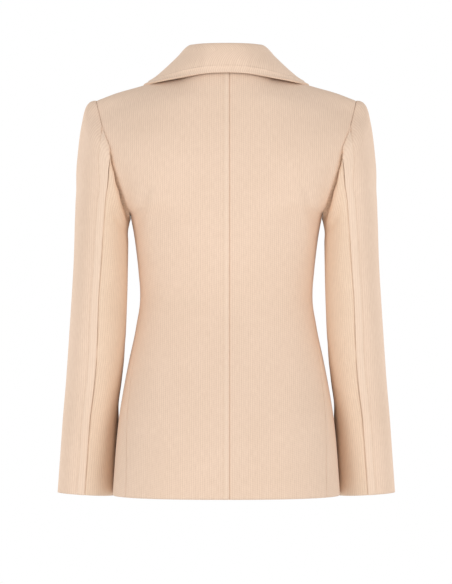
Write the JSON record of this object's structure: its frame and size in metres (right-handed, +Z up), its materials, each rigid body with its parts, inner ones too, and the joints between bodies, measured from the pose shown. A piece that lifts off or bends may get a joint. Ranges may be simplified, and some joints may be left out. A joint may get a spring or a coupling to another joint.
{
  "type": "short coat",
  "caption": "Fitted hip-length tailored coat in pale wool, hollow as worn: wide folded collar, lapels, two-piece sleeves, seamed back, two-button front.",
  "frame": {"origin": "centre plane, level with the side neck points, in the depth of the shoulder seams", "axes": "+Z up, the front faces -Y, the wearer's left is +X"},
  "size_m": [0.5246, 0.2725, 0.6935],
  "materials": {
    "wool": "matte ribbed weave",
    "horn": "satin"
  },
  "bodies": {
    "root": {"back_left": "wool", "back_right": "wool", "front_left": "wool", "front_right": "wool", "sleeve_top_left": "wool", "sleeve_top_right": "wool", "sleeve_under_left": "wool", "sleeve_under_right": "wool", "collar": "wool", "lapel_left": "wool", "lapel_right": "wool", "button_upper": "horn", "button_lower": "horn"}
  },
  "joints": []
}
